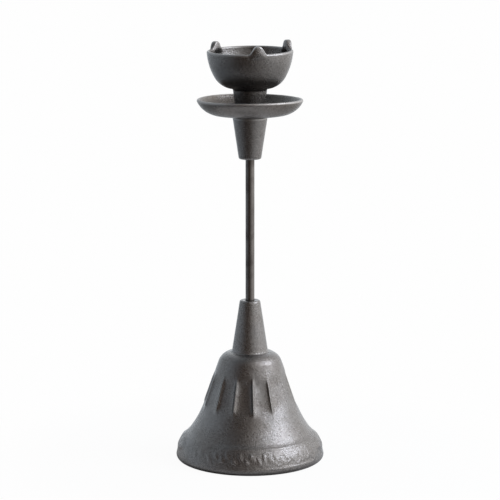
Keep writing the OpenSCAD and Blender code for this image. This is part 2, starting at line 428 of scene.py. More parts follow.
def raise_skin(mesh: bmesh.types.BMesh, height: Height) -> None:
    """Moves every point along its normal.

    Args:
        mesh: mesh to shape.
        height: gives the move in millimetres from the point in millimetres and its normal.
    """
    mesh.normal_update()
    moves = [v.normal * height(v.co / MM, v.normal) * MM for v in mesh.verts]
    for vertex, move in zip(mesh.verts, moves):
        vertex.co += move


def no_painted_shade(point: Vector, normal: Vector) -> float:
    """No painted shade anywhere."""
    return 0.0


def mark_wear_and_shade(mesh: bmesh.types.BMesh, painted_shade: Height, gain: float) -> None:
    """Stores how far each point stands out of its surroundings, edges above 0.5 and hollows below, less the
    painted shade.

    Args:
        mesh: finished mesh.
        painted_shade: gives the painted shade that is taken off the value at a point.
        gain: change of the value per unit of curvature, in millimetres.
    """
    mesh.normal_update()
    layer = mesh.verts.layers.float.new(WEAR_AND_SHADE)
    for vertex in mesh.verts:
        bends = [
            (vertex.co - edge.other_vert(vertex).co).dot(vertex.normal) / edge.calc_length() ** 2
            for edge in vertex.link_edges
        ]
        curvature = 2 * sum(bends) / len(bends) * MM
        value = 0.5 + gain * curvature - painted_shade(vertex.co / MM, vertex.normal)
        vertex[layer] = min(max(value, 0.0), 2.0)


def make_piece(
    mesh: bmesh.types.BMesh, name: str, node: str,
    material: bpy.types.Material, sharp: float = 180.0, painted_shade: Height = no_painted_shade, gain: float = 0.8,
) -> bpy.types.Object:
    """Turns a finished mesh into a piece that stands for a CAD node.

    Args:
        mesh: mesh in metres, in the row frame.
        name: name of the piece.
        node: CAD node that it replaces.
        material: its finish.
        sharp: angle above which an edge stays sharp.
        painted_shade: gives where shade is painted on the piece, and how dark.
        gain: how strongly its edges are rubbed and its hollows blackened.

    Returns:
        The new object.
    """
    mark_wear_and_shade(mesh, painted_shade, gain)
    data = bpy.data.meshes.new(name)
    mesh.to_mesh(data)
    mesh.free()
    data.shade_smooth()
    if sharp < 180:
        data.set_sharp_from_angle(angle=math.radians(sharp))
    data.materials.append(material)
    piece = bpy.data.objects.new(name, data)
    bpy.context.scene.collection.objects.link(piece)
    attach(piece, "root")
    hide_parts(node)
    LOG.info("%s: %d faces, stands for %s", name, len(data.polygons), node)
    return piece


@dataclass(frozen=True)
class Leaf:
    """Leaf of the worn band: a raised sliver, pointed at both ends."""

    s: float
    z: float
    reach: float
    tilt: float
    bend: float = 0.0
    width: float = 1.3
    rise: float = 0.5

    def height(self, s: float, z: float) -> float:
        """Relief of the leaf.

        Args:
            s: place along the band from the panel's middle.
            z: height.

        Returns:
            Height of the relief.
        """
        lean = math.radians(self.tilt)
        along = (s - self.s) * math.sin(lean) + (z - self.z) * math.cos(lean)
        across = (s - self.s) * math.cos(lean) - (z - self.z) * math.sin(lean)
        share = min((along / self.reach) ** 2, 1.0)
        across -= self.bend * share
        return self.rise * (1 - share) * ridge(across, self.width * (1.05 - share))


@dataclass
class Bell:
    """Bell foot with its neck: flutes on the flank and a worn scroll band round the mouth."""

    height: float = 78.0
    wall: float = 4.5
    shoulder: float = 10.5
    flare: float = 72.0
    flare_lean: float = 39.0
    band_height: float = 18.5
    band_step: float = 0.8
    ledge_turn: float = 1.5
    band_inset: float = 7.0
    band_bow: float = 1.0
    band_lip: float = 0.7
    lip_from: float = 40.0
    lip_to: float = 55.0
    foot_round: float = 2.8
    edge_end: float = 12.0
    rest: float = 4.2
    neck_r: float = 12.7
    neck_fillet: float = 1.8
    taper: float = 0.14
    neck_edge: float = 1.5
    seat_r: float = 3.275
    seat_depth: float = 4.0
    bore_r: float = 2.75
    flutes: int = 14
    flute_r: float = 29.0
    arris: float = 4.5
    flute_low: float = 45.0
    flute_high: float = 56.5
    flute_depth: float = 1.7
    flute_thin: float = 1.5
    flute_edge: float = 2.3
    bead: float = 0.5
    bead_width: float = 1.15
    bead_low: float = 39.0
    bead_end: float = 2.4
    low_end: float = 10.5
    high_end: float = 9.0
    slips: tuple[float, ...] = (
        -0.2, -1.5, 2.1, 0.6, -1.2, 0.8, 1.5, -0.9, 0.0, 1.3, -0.7, -1.4, 0.9, 0.7,
    )
    rub: float = 0.35
    worn_side: float = 78.0
    worn_reach: float = 45.0
    # Painted shade in a line at the left foot of each ridge: its offset from the ridge, its width and its depth.
    shade_line_offset: float = 0.85
    shade_line_width: float = 0.6
    painted_shade: float = 0.5
    column_share: int = 40
    unroll: float = 50.0
    panel_half: float = 56.0
    panel_mid: float = 11.0
    panel_rise: float = 6.3
    border_height: float = 0.3
    border_width: float = 0.6
    scroll_half: float = 8.0
    scroll_rise: float = 2.6
    scroll_height: float = 0.26
    stray: float = 1.6
    worn_from: float = -4.0
    worn_to: float = 16.0
    leaves: tuple[Leaf, ...] = (
        Leaf(-44.0, 11.0, 4.0, -34, 0.8, rise=0.3),
        Leaf(-38.0, 12.3, 3.6, -26, -0.6, rise=0.3),
        Leaf(-31.0, 10.6, 4.2, -38, 0.7, rise=0.35),
        Leaf(-25.4, 12.4, 3.4, -30, 0.6, rise=0.45),
        Leaf(-20.8, 10.4, 3.8, -24, 0.7, rise=0.55),
        Leaf(-16.0, 12.6, 3.4, -38, 0.6, rise=0.5),
        Leaf(-11.6, 10.0, 3.6, -28, 0.7, rise=0.5),
        Leaf(-7.0, 12.2, 3.6, -20, 0.6, rise=0.55),
        Leaf(-2.8, 9.8, 3.4, -36, 0.7, rise=0.5),
        Leaf(1.4, 12.0, 3.8, -26, 0.6, rise=0.5),
        Leaf(6.0, 10.2, 3.6, -34, 0.7, rise=0.5),
        Leaf(10.2, 12.0, 3.4, -24, 0.6, rise=0.4),
        Leaf(14.6, 10.0, 3.4, -38, 0.7, rise=0.4),
        Leaf(18.8, 12.2, 3.6, -28, 0.6, rise=0.35),
        Leaf(23.2, 10.4, 3.4, -36, 0.7, rise=0.4),
        Leaf(27.4, 12.2, 3.4, -26, 0.6, rise=0.35),
        Leaf(31.8, 10.2, 3.6, -34, 0.7, rise=0.4),
        Leaf(36.2, 12.0, 3.6, -26, 0.6, rise=0.4),
        Leaf(40.8, 10.4, 3.6, -36, 0.7, rise=0.4),
        Leaf(48.4, 11.2, 4.2, -28, 0.8, rise=0.4),
    )
    plaque_raise: float = 0.9
    plaque_half: float = 21.0
    plaque_end: float = 10.0
    plaque_rise: float = 7.0
    plaque_z: float = 12.5
    seed: float = 3.7
    radius: float = field(init=False)
    top: float = field(init=False)
    shoulder_c: Vector = field(init=False)
    flare_c: Vector = field(init=False)
    lean: float = field(init=False)

    def __post_init__(self) -> None:
        """Takes the outer sizes from the frame and finds the flank that touches both arcs."""
        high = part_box("bell_base")[1] / MM
        self.radius = high.y
        self.top = high.z
        self.shoulder_c = Vector((self.neck_r, self.height - self.shoulder))
        end = Vector((self.radius - self.band_inset - self.band_step, self.band_height))
        lean = math.radians(self.flare_lean)
        self.flare_c = end + self.flare * Vector((math.cos(lean), math.sin(lean)))
        gap = self.flare_c - self.shoulder_c
        touch = math.acos((self.shoulder + self.flare) / gap.length)
        self.lean = math.degrees(math.atan2(gap.y, gap.x) + touch)

    def outline(self) -> Outline:
        """Draws the section from the rest ring up to the neck and back down the inside."""
        foot_c = Vector((self.radius - self.foot_round, self.foot_round))
        mouth = foot_c.x - self.rest
        swing = self.flare_lean - self.lean
        out = math.radians(self.lean)
        direction = Vector((math.cos(out), math.sin(out)))
        draw = Outline(foot_c.x, 0.0)
        draw.arc(foot_c, 90 + self.edge_end, 8)
        band_top = Vector((self.radius - self.band_inset, self.band_height))
        lip_c = band_top - Vector((self.band_lip, self.band_lip))
        lip_from = math.radians(self.lip_from)
        target = lip_c + self.band_lip * Vector((math.cos(lip_from), math.sin(lip_from)))
        self.bow(draw, target, self.band_bow, 26)
        draw.arc(lip_c, self.lip_to - self.lip_from, 2)
        above = self.flare_end(self.flare_lean - self.ledge_turn)
        draw.line(*above, 3)
        draw.arc(self.flare_c, self.ledge_turn - swing, 21)
        draw.line(*(self.shoulder_c + self.shoulder * direction), 34)
        fillet_c = Vector((self.neck_r + self.neck_fillet, 0.0))
        crown = math.degrees(math.acos((fillet_c.x - self.shoulder_c.x) / self.shoulder))
        fillet_c.y = (
            self.shoulder_c.y + self.shoulder * math.sin(math.radians(crown)) + self.neck_fillet
        )
        draw.arc(self.shoulder_c, crown - self.lean, 12)
        draw.arc(fillet_c, -90, 4)
        neck_end = self.neck_r - (self.top - self.height) * self.taper
        draw.line(neck_end, self.top - self.neck_edge, 16)
        draw.arc(Vector((neck_end - self.neck_edge, self.top - self.neck_edge)), 90, 4)
        draw.line(self.seat_r, self.top)
        draw.line(self.seat_r, self.top - self.seat_depth)
        draw.line(self.bore_r, self.top - self.seat_depth)
        roof = self.height - self.wall
        draw.line(self.bore_r, roof)
        draw.line(self.shoulder_c.x, roof, 2)
        draw.arc(self.shoulder_c, self.lean - 90, 5)
        low = self.flare_c - (self.flare + self.wall) * direction
        draw.line(*low, 3)
        draw.arc(self.flare_c, swing, 8)
        draw.line(mouth, 0.0, 2)
        return draw.line(foot_c.x, 0.0)

    def flare_end(self, turn: float) -> Vector:
        """Point of the flare at an angle of its arc."""
        angle = math.radians(turn)
        return self.flare_c - self.flare * Vector((math.cos(angle), math.sin(angle)))

    @staticmethod
    def bow(draw: Outline, end: Vector, rise: float, rows: int) -> None:
        """Draws a shallow bow that bulges outwards.

        Args:
            draw: outline to go on with.
            end: radius and height of its end.
            rise: how far its middle stands out of the straight line.
            rows: number of rows of faces.
        """
        start = draw.at
        half = (end - start).length / 2
        radius = (half * half + rise * rise) / (2 * rise)
        along = (end - start).normalized()
        out = Vector((along.y, -along.x))
        centre = (start + end) / 2 - (radius - rise) * out
        draw.arc(centre, 2 * math.degrees(math.asin(half / radius)), rows)

    def scoop(self, angle: float, z: float) -> float:
        """Depth of the flutes: hollows as wide as their pitch, with sharp ridges between them.

        Args:
            angle: direction round the axis.
            z: height.

        Returns:
            Depth below the skin.
        """
        pitch = 360 / self.flutes
        beside = (angle - self.arris + pitch / 2) % pitch - pitch / 2
        across = 1 - abs(beside) / (pitch / 2)
        share = (z - self.flute_low) / (self.flute_high - self.flute_low)
        depth = self.flute_depth + (self.flute_thin - self.flute_depth) * min(max(share, 0.0), 1.0)
        below = ease((self.flute_low - z) / self.low_end)
        above = ease((z - self.flute_high) / self.high_end)
        hollow = depth * (1 - across**self.flute_edge) * (1 - below)
        bead = self.bead * ridge(math.radians(beside) * self.flute_r, self.bead_width)
        bead *= ease((z - self.bead_low) / self.bead_end)
        worn = self.worn(angle)
        return (hollow * (1 - 0.35 * worn) - bead * (1 - 0.85 * worn)) * (1 - above)

    def worn(self, angle: float) -> float:
        """How far handling has smoothed the flutes in a direction, from 0 to 1."""
        return ease(1.6 - abs(off(angle, self.worn_side)) / self.worn_reach)

    def slip(self, point: Vector) -> float:
        """Turn that puts the ridges out of their even places, as the pattern was cut by hand."""
        steps = ((azimuth(point) - self.arris) * self.flutes / 360) % self.flutes
        first = math.floor(steps) % self.flutes
        share = steps - math.floor(steps)
        turn = self.slips[first] * (1 - share) + self.slips[(first + 1) % self.flutes] * share
        return turn * ease((point.z - 30) / 8) * ease((70 - point.z) / 8)

    def painted_shade_at(self, point: Vector, normal: Vector) -> float:
        """Painted shade in a line at the left foot of each ridge, a darker band along the lower edge, and a lift
        at the neck fillet.
        """
        edge = 0.35 * ease((4.0 - point.z) / 2.5)
        edge -= 0.2 * ridge(point.z - self.height - self.neck_fillet / 2, 2.0)
        pitch = 360 / self.flutes
        turn = (azimuth(point) - self.slip(point) - self.arris) % pitch - pitch
        across = math.radians(turn) * math.hypot(point.x, point.y)
        fade = ease((point.z - self.bead_low) / self.bead_end)
        fade *= 1 - ease((point.z - self.flute_high) / self.high_end)
        # The painted shade fades towards the side that faces the lamp, where the flutes are worn too.
        fade *= 1 - 0.85 * self.worn(azimuth(point))
        return edge + self.painted_shade * fade * ridge(across + self.shade_line_offset, self.shade_line_width)

    def scroll(self, s: float, h: float) -> float:
        """Running scroll: a waving stem with a curl and a leaf in every half wave.

        Args:
            s: place along the band.
            h: height above the middle of the panel.

        Returns:
            Share of the full relief.
        """
        index = math.floor(s / self.scroll_half)
        side = 1 if index % 2 == 0 else -1
        u = s - (index + 0.5) * self.scroll_half
        w = h * side
        stem = ridge(w - self.scroll_rise * math.cos(math.pi * u / self.scroll_half), 0.75)
        rho = math.hypot(u + 0.4, w + 1.6)
        turn = (math.atan2(w + 1.6, u + 0.4) / math.tau) % 1
        curl = 0.9 * ridge(rho - (0.9 + 2.2 * turn), 0.6)
        tilt = math.radians(35)
        along = (u + 3.6) * math.cos(tilt) - (w - 3.4) * math.sin(tilt)
        across = (u + 3.6) * math.sin(tilt) + (w - 3.4) * math.cos(tilt)
        leaf = ridge(math.hypot(along / 1.9, across / 0.85), 1.0)
        return max(stem, curl, leaf)

    def panel(self, s: float, z: float) -> float:
        """Relief of one of the two long panels.

        Args:
            s: place along the band from the panel's middle.
            z: height.

        Returns:
            Height of the relief.
        """
        corner = self.panel_rise - 0.3
        dx = abs(s) - self.panel_half + corner
        dz = abs(z - self.panel_mid) - self.panel_rise + corner
        inside = min(max(dx, dz), 0.0)
        edge = math.hypot(max(dx, 0.0), max(dz, 0.0)) + inside - corner
        kept = 0.12 + 0.88 * ease((s - self.worn_from) / (self.worn_to - self.worn_from))
        line = self.border_height * kept * ridge(edge, self.border_width)
        if edge > -0.6:
            return line
        spot = Vector((s / 6, z / 6, self.seed))
        along = s + self.stray * noise.noise(spot)
        height = z - self.panel_mid + self.stray * noise.noise(spot + Vector((7.0, 3.0, 0.0)))
        worn = ease(0.62 + 1.9 * noise.noise(Vector((s / 7, z / 5, self.seed + 4))))
        fill = self.scroll_height * self.scroll(along, height) * (0.45 + 0.55 * kept)
        level = height + self.panel_mid
        leaves = max(leaf.height(along, level) for leaf in self.leaves) * (0.55 + 0.45 * worn)
        return line + max(fill * worn, leaves) * ease((-0.6 - edge) / 0.8)

    def plaque(self, s: float, z: float) -> float:
        """Relief of a side plaque: a low leaf-shaped swelling with a fan of lobes.

        Args:
            s: place along the band from the plaque's middle.
            z: height.

        Returns:
            Height of the relief.
        """
        if abs(s) >= self.plaque_half:
            return 0.0
        edge = self.plaque_rise * math.cos(math.pi / 2 * s / self.plaque_half) ** 0.6
        inside = 1 - abs(z - self.plaque_z) / edge
        if inside <= 0:
            return 0.0
        end = ease((self.plaque_half - abs(s)) / self.plaque_end)
        body = self.plaque_raise * ease(inside * 1.6) * end
        root = self.plaque_z - 5.5
        reach = math.hypot(s * 0.6, z - root)
        turn = math.degrees(math.atan2(s * 0.6, z - root))
        lobes = abs(math.cos(math.radians(turn * 180 / 30)))
        return body + 0.25 * end * (lobes - 0.5) * ease((reach - 1.5) / 2) * ease(inside * 3)

    def relief(self, point: Vector, normal: Vector) -> float:
        """Height of the finished skin above the plain section."""
        made = unevenness(point, self.seed) * ease(point.z / 3)
        r = math.hypot(point.x, point.y)
        facing = (normal.x * point.x + normal.y * point.y) / max(r, 1e-6)
        if facing < 0.2 or point.z > self.height:
            return made
        angle = azimuth(point)
        if point.z > self.band_height:
            return made - self.scoop(angle, point.z)
        front = off(angle, 0.0 if abs(angle) < 90 else 180.0)
        beside = off(angle, 90.0 if angle > 0 else -90.0)
        length = math.radians(1) * self.unroll
        fade = ease((point.z - 1.0) / 1.5) * ease((self.band_height + 0.6 - point.z) / 1.0)
        relief = max(
            self.panel(front * length, point.z), self.plaque(beside * length, point.z)
        )
        return made + relief * fade

    def build(self, iron: bpy.types.Material) -> None:
        """Models the bell and dresses it."""
        mesh = self.outline().spin(self.flutes * self.column_share, self.arris)
        raise_skin(mesh, self.relief)
        for vertex in mesh.verts:
            turn = math.radians(self.slip(vertex.co / MM))
            vertex.co.rotate(Matrix.Rotation(turn, 3, "Z"))
        make_piece(
            mesh, "bell_casting", "bell_base", iron, painted_shade=self.painted_shade_at, gain=self.rub,
        )


@dataclass
class Collar:
    """Tapered collar between the rod and the pan, its small end down."""

    taper: float = 0.14
    low_edge: float = 1.5
    top_edge: float = 0.6
    seat_r: float = 3.275
    seat_depth: float = 4.0
    bore_r: float = 2.75
    seed: float = 11.0

    def build(self, iron: bpy.types.Material) -> None:
        """Models the collar and dresses it."""
        low, high = (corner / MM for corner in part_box("stem_collar"))
        radius = high.x
        small = radius - (high.z - low.z) * self.taper
        draw = Outline(self.seat_r, low.z)
        draw.line(small - self.low_edge, low.z, 2)
        draw.arc(Vector((small - self.low_edge, low.z + self.low_edge)), 90, 4)
        draw.line(radius, high.z - self.top_edge, 22)
        draw.arc(Vector((radius - self.top_edge, high.z - self.top_edge)), 90, 3)
        draw.line(self.bore_r, high.z, 3)
        draw.line(self.bore_r, low.z + self.seat_depth, 3)
        draw.line(self.seat_r, low.z + self.seat_depth)
        draw.line(self.seat_r, low.z)
        mesh = draw.spin(192)
        raise_skin(mesh, self.relief)
        make_piece(mesh, "collar_casting", "stem_collar", iron)

    def relief(self, point: Vector, normal: Vector) -> float:
        """Unevenness of the outer skin; the faces that meet other pieces stay true."""
        return unevenness(point, self.seed) if abs(normal.z) < 0.9 else 0.0


@dataclass
class Pan:
    """Drip pan: a shallow dish with an upturned side, slightly warped as it cooled."""

    height: float = 11.2
    floor: float = 3.0
    wall: float = 2.2
    curve: float = 17.0
    lean: float = 25.0
    seat_r: float = 12.3
    bore_r: float = 2.75
    warp: float = 0.35
    warp_turn: float = 20.0
    tip: float = 0.018
    # Depth of the painted shade in the dish, under the cup.
    painted_shade: float = 0.2
    rub: float = 1.1
    seed: float = 23.0
    base: float = field(init=False)
    radius: float = field(init=False)

    def __post_init__(self) -> None:
        """Takes the place and the rim from the frame."""
        low, high = (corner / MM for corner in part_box("drip_pan"))
        self.base = low.z
        self.radius = high.x

    def slope(self, centre: Vector, seat: Vector, radius: float) -> float:
        """Angle of the straight face from the seat that touches the curve."""
        gap = centre - seat
        return math.degrees(math.atan2(gap.y, gap.x) - math.asin(radius / gap.length))

    def outline(self) -> Outline:
        """Draws the section: underside, rounded lip and upper face."""
        lean = math.radians(self.lean)
        side = Vector((math.cos(lean), -math.sin(lean)))
        centre = Vector((self.radius, self.base + self.height)) - self.curve * side
        lip = centre + (self.curve - self.wall / 2) * side
        seat = Vector((self.seat_r, self.base))
        floor = Vector((self.seat_r, self.base + self.floor))
        under = self.slope(centre, seat, self.curve)
        over = self.slope(centre, floor, self.curve - self.wall)
        draw = Outline(self.bore_r, self.base)
        draw.line(*seat, 3)
        start = math.radians(under - 90)
        draw.line(*(centre + self.curve * Vector((math.cos(start), math.sin(start)))), 14)
        draw.arc(centre, 90 - self.lean - under, 14)
        draw.arc(lip, 180, 6)
        draw.arc(centre, over - 90 + self.lean, 14)
        draw.line(*floor, 14)
        draw.line(self.bore_r, floor.y, 3)
        return draw.line(self.bore_r, self.base)

    def relief(self, point: Vector, normal: Vector) -> float:
        """Unevenness of the skin, none where the pan is clamped."""
        r = math.hypot(point.x, point.y)
        return unevenness(point, self.seed) * ease((r - self.seat_r - 1) / 3)

    def build(self, iron: bpy.types.Material) -> None:
        """Models the pan, warps it and dresses it."""
        mesh = self.outline().spin(320)
        raise_skin(mesh, self.relief)
        for vertex in mesh.verts:
            point = vertex.co / MM
            share = ease((math.hypot(point.x, point.y) - self.seat_r - 1) / self.radius)
            bend = math.cos(math.radians(2 * off(azimuth(point), self.warp_turn)))
            vertex.co.z += share * (self.warp * bend * MM - self.tip * vertex.co.y)
        make_piece(
            mesh, "pan_casting", "drip_pan", iron, painted_shade=self.painted_shade_at, gain=self.rub,
        )

    def painted_shade_at(self, point: Vector, normal: Vector) -> float:
        """Painted shade on the upward faces of the dish under the cup, none on the rim or below."""
        inside = ease((self.radius - 1.5 - math.hypot(point.x, point.y)) / 4)
        return self.painted_shade * inside * ease(normal.z * 3)


@dataclass
class Prong:
    """One of the cup's cast prongs."""

    turn: float
    drop: float = 0.0


@dataclass
class Cup:
    """Candle cup: a tapered foot, a round bowl and three prongs on its rim."""

    foot_height: float = 17.0
    foot_r: float = 12.2
    taper: float = 0.14
    bowl_height: float = 25.9
    corner: float = 15.2
    side: float = 45.0
    wall: float = 2.4
    rim_r: float = 30.3
    bore_r: float = 2.55
    bore_depth: float = 12.5
    prong_height: float = 5.8
    prong_half: float = 7.0
    prong_swell: float = 1.4
    lobe: float = 2.6
    lobe_top: float = 2.6
    tip: float = 0.024
    lean: float = 0.012
    sag: float = 0.35
    rub: float = 0.9
    prongs: tuple[Prong, ...] = (Prong(11.0), Prong(115.0), Prong(237.0, drop=0.9))
    seed: float = 37.0
    base: float = field(init=False)
    corner_c: Vector = field(init=False)
    side_c: Vector = field(init=False)
    join: float = field(init=False)
    rim_turn: float = field(init=False)

    def __post_init__(self) -> None:
        """Takes the place from the frame and finds the two arcs of the bowl."""
        self.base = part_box("candle_cup")[0].z / MM
        foot_top = self.base + self.foot_height
        self.corner_c = Vector((self.foot_r - 0.7, foot_top + self.corner))
        rim = Vector((self.rim_r, foot_top + self.bowl_height))
        to_rim = rim - self.corner_c
        gap = self.side - self.corner
        cosine = (to_rim.length_squared + gap**2 - self.side**2) / (2 * to_rim.length * gap)
        turn = math.atan2(to_rim.y, to_rim.x) + math.acos(cosine)
        self.side_c = self.corner_c + gap * Vector((math.cos(turn), math.sin(turn)))
        self.join = math.degrees(turn) - 180
        out = rim - self.side_c
        self.rim_turn = math.degrees(math.atan2(out.y, out.x))

    def outline(self) -> Outline:
        """Draws the section: bore, foot, outside of the bowl, lip and inside."""
        foot_top = self.base + self.foot_height
        rim = math.radians(self.rim_turn)
        out = Vector((math.cos(rim), math.sin(rim)))
        lip = self.side_c + (self.side - self.wall / 2) * out
        draw = Outline(0.0, self.base + self.bore_depth)
        draw.line(self.bore_r, self.base + self.bore_depth)
        draw.line(self.bore_r, self.base)
        draw.line(self.foot_r - self.foot_height * self.taper, self.base, 2)
        meet = math.acos((self.foot_r - self.corner_c.x) / self.corner)
        draw.line(self.foot_r, self.corner_c.y - self.corner * math.sin(meet), 12)
        draw.arc(self.corner_c, self.join + math.degrees(meet), 12)
        draw.arc(self.side_c, self.rim_turn - self.join, 36)
        draw.arc(lip, 180, 8)
        draw.arc(self.side_c, self.join - self.rim_turn, 36)
        draw.arc(self.corner_c, -90 - self.join, 10)
        return draw.line(0.0, foot_top + self.wall, 8)

    def relief(self, point: Vector, normal: Vector) -> float:
        """Unevenness of the skin; the foot's face and the bore stay true."""
        r = math.hypot(point.x, point.y)
        return unevenness(point, self.seed) * ease((r - self.bore_r) / 4)

    def raise_prongs(self, mesh: bmesh.types.BMesh) -> None:
        """Draws the rim up into the prongs, thick in their middle and thin at the edge."""
        rim_z = self.base + self.foot_height + self.bowl_height
        for vertex in mesh.verts:
            point = vertex.co / MM
            lift = ease((point.z - rim_z + 3.0) / 3.2)
            if lift <= 0:
                continue
            r = math.hypot(point.x, point.y)
            radial = Vector((point.x, point.y, 0.0)) / r
            for prong in self.prongs:
                share = math.radians(off(azimuth(point), prong.turn)) * self.rim_r / self.prong_half
                if abs(share) >= 1:
                    continue
                lobe = (1 - abs(share) ** self.lobe_top) ** self.lobe
                side = 1 if r > self.rim_r - self.wall / 2 else -1
                swell = self.prong_swell * lobe * ease(lift * 2) * (1 - 0.35 * ease(lift * 3 - 2))
                vertex.co.z += (self.prong_height - prong.drop) * lobe * lift * MM
                vertex.co += radial * side * swell * MM

    def build(self, iron: bpy.types.Material) -> None:
        """Models the cup and dresses it."""
        mesh = self.outline().spin(384)
        raise_skin(mesh, self.relief)
        self.raise_prongs(mesh)
        for vertex in mesh.verts:
            share = ease((vertex.co.z / MM - self.base - self.foot_height) / self.bowl_height)
            lift = self.tip * vertex.co.y + self.lean * vertex.co.x
            vertex.co.z += share * (lift - self.sag * MM)
        make_piece(mesh, "cup_casting", "candle_cup", iron, gain=self.rub)


@dataclass
class Stem:
    """Rod with a threaded stud at each end, and the nut and washer that clamp the stack."""

    rod_r: float = 3.175
    shoulder: float = 0.4
    stud_r: float = 2.5
    pitch: float = 0.8
    thread: float = 0.42
    seat_depth: float = 4.0
    nut_flats: float = 8.0
    nut_height: float = 4.0
    washer_r: float = 7.5
    washer_height: float = 1.2
    stud_tail: float = 2.5
    hole_clear: float = 0.25
    thread_clear: float = 0.05

    def cut_thread(self, point: Vector, normal: Vector) -> float:
        """Depth of the thread on the studs, a plain V with softened crests."""
        r = math.hypot(point.x, point.y)
        if abs(normal.z) > 0.5 or r > self.stud_r + 0.05:
            return 0.0
        phase = (point.z / self.pitch - azimuth(point) / 360) % 1
        return -self.thread * (1 - abs(2 * phase - 1))

    def build(self, steel: bpy.types.Material, zinc: bpy.types.Material) -> None:
        """Models the rod, the washer and the nut and dresses them."""
        low, high = (corner.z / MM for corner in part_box("stem_rod"))
        rod_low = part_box("bell_base")[1].z / MM - self.seat_depth
        rod_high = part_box("stem_collar")[0].z / MM + self.seat_depth
        draw = Outline(0.0, low)
        draw.line(self.stud_r - self.shoulder, low)
        draw.line(self.stud_r, low + self.shoulder)
        draw.line(self.stud_r, rod_low, 220)
        draw.line(self.rod_r - self.shoulder, rod_low)
        draw.line(self.rod_r, rod_low + self.shoulder)
        draw.line(self.rod_r, rod_high - self.shoulder, 24)
        draw.line(self.rod_r - self.shoulder, rod_high)
        draw.line(self.stud_r, rod_high)
        draw.line(self.stud_r, high - self.shoulder, 120)
        draw.line(self.stud_r - self.shoulder, high)
        draw.line(0.0, high)
        mesh = draw.spin(48)
        raise_skin(mesh, self.cut_thread)
        make_piece(mesh, "drawn_rod", "stem_rod", steel, 30)
        self.build_washer(zinc)
        self.build_nut(zinc)

    def build_washer(self, zinc: bpy.types.Material) -> None:
        """Models the washer with its edges rounded by blanking."""
        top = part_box("base_washer")[1].z / MM
        bore = self.stud_r + self.hole_clear
        draw = Outline(bore, top)
        draw.line(bore, top - self.washer_height)
        draw.line(self.washer_r, top - self.washer_height)
        draw.line(self.washer_r, top)
        draw.line(bore, top)
        mesh = draw.spin(96)
        corners = [e for e in mesh.edges if e.calc_face_angle(0.0) > 1.0]
        bmesh.ops.bevel(
            mesh, geom=corners, offset=0.2 * MM, affect="EDGES", segments=3,
            profile=0.5, material=-1,
        )
        make_piece(mesh, "plain_washer", "base_washer", zinc, 40)

    def build_nut(self, zinc: bpy.types.Material) -> None:
        """Models the nut: a chamfered round blank with six flats cut on it."""
        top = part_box("base_nut")[1].z / MM
        bottom = top - self.nut_height
        corner = self.nut_flats / 2 / math.cos(math.radians(30))
        bore = self.stud_r + self.thread_clear
        chamfer = corner - self.nut_flats / 2 * 0.96
        draw = Outline(bore, bottom + 0.3)
        draw.line(bore + 0.3, bottom)
        draw.line(corner - chamfer, bottom, 2)
        draw.line(corner, bottom + chamfer * 0.577)
        draw.line(corner, top - chamfer * 0.577)
        draw.line(corner - chamfer, top)
        draw.line(bore + 0.3, top, 2)
        draw.line(bore, top - 0.3)
        draw.line(bore, bottom + 0.3)
        mesh = draw.spin(96)
        for i in range(6):
            turn = math.radians(60 * i + 30)
            out = Vector((math.cos(turn), math.sin(turn), 0.0))
            made = bmesh.ops.bisect_plane(
                mesh, geom=mesh.verts[:] + mesh.edges[:] + mesh.faces[:],
                plane_co=out * self.nut_flats / 2 * MM, plane_no=out, clear_outer=True,
            )
            cut = [e for e in made["geom_cut"] if isinstance(e, bmesh.types.BMEdge)]
            bmesh.ops.edgeloop_fill(mesh, edges=cut)
        bmesh.ops.recalc_face_normals(mesh, faces=mesh.faces)
        make_piece(mesh, "hex_nut", "base_nut", zinc, 20)


